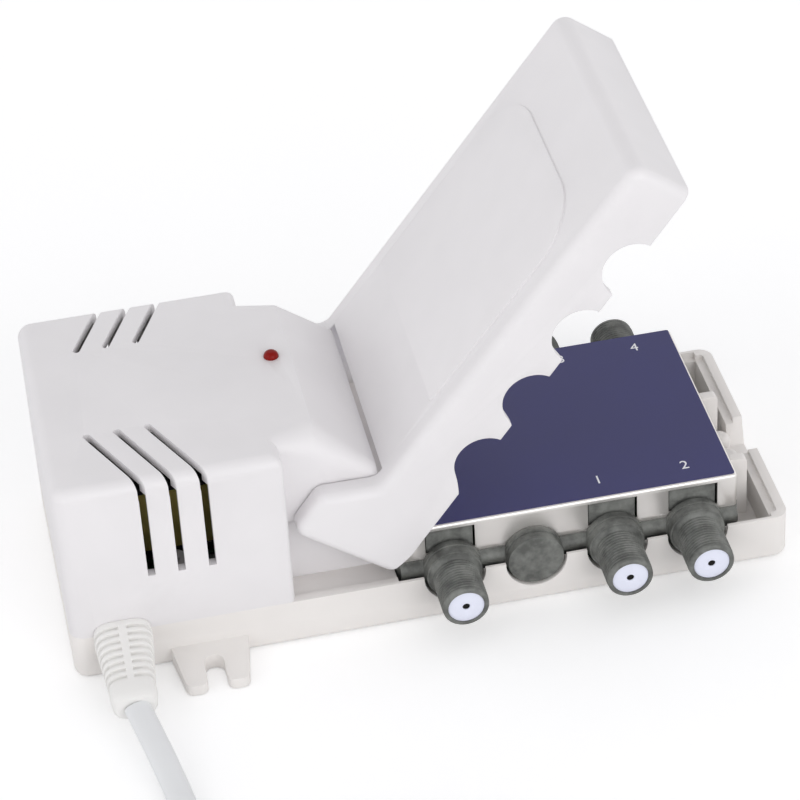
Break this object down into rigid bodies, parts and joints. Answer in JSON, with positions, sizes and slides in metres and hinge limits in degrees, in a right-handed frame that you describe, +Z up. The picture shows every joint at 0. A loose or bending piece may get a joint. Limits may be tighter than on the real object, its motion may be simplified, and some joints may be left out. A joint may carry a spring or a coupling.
{
  "type": "tv signal amplifier",
  "caption": "Mains-powered coaxial signal amplifier: tray with wall ears, vented power block, hinged lid with scalloped sides over a module with threaded ports, and a mains lead.",
  "frame": {"origin": "middle of the tray's flat underside", "axes": "+X from the power block to the latch end, -Y is the side the mains lead leaves from, +Z up"},
  "size_m": [0.147, 0.236, 0.0997],
  "materials": {
    "white_plastic": "fine satin moulding",
    "die_cast": "dull cast zinc",
    "tinned_steel": "tinned sheet",
    "label_film": "printed film",
    "nickel": "nickel plate",
    "white_insulator": "moulded insulator",
    "contact_brass": "spring brass",
    "circuit_board": "solder mask",
    "black_plastic": "moulded",
    "ferrite": "sintered",
    "aluminium_can": "plain",
    "core_steel": "stacked laminations",
    "winding_tape": "wrapped tape",
    "capacitor_sleeve": "shrunk sleeve",
    "fuse_glass": "clear tube",
    "red_lens": "diffuse lens",
    "wire_insulation": "flexible insulation",
    "screw_steel": "zinc plated",
    "cord_sheath": "soft satin sheath"
  },
  "bodies": {
    "base": {"base_tray": "white_plastic", "power_housing": "white_plastic", "module_frame": "die_cast", "module_cover": "tinned_steel", "cover_label": "label_film", "port_sleeves": "nickel", "port_insulators": "white_insulator", "port_contacts": "contact_brass", "rf_board": "circuit_board", "rf_chips": "black_plastic", "rf_coil_cores": "ferrite", "rf_capacitors": "aluminium_can", "power_board": "circuit_board", "transformer_core": "core_steel", "transformer_bobbin": "black_plastic", "transformer_winding": "winding_tape", "capacitors": "capacitor_sleeve", "diodes": "black_plastic", "fuse_tube": "fuse_glass", "fuse_caps": "nickel", "heat_sink": "aluminium_can", "regulator": "black_plastic", "status_light": "red_lens", "light_leads": "nickel", "terminal_block": "black_plastic", "mains_wires": "wire_insulation", "supply_wire": "wire_insulation", "case_screws": "screw_steel", "strain_relief": "white_plastic", "mains_cord": "cord_sheath", "cord_coil": "cord_sheath", "plug_body": "cord_sheath", "plug_pins": "nickel"},
    "lid": {"lid": "white_plastic"}
  },
  "joints": [
    {"name": "lid_hinge", "type": "hinge", "parent": "base", "child": "lid", "pos_m": [-0.0193, 0, 0.0308], "axis": [0, -1, 0], "range_deg": [-53, 42]}
  ]
}
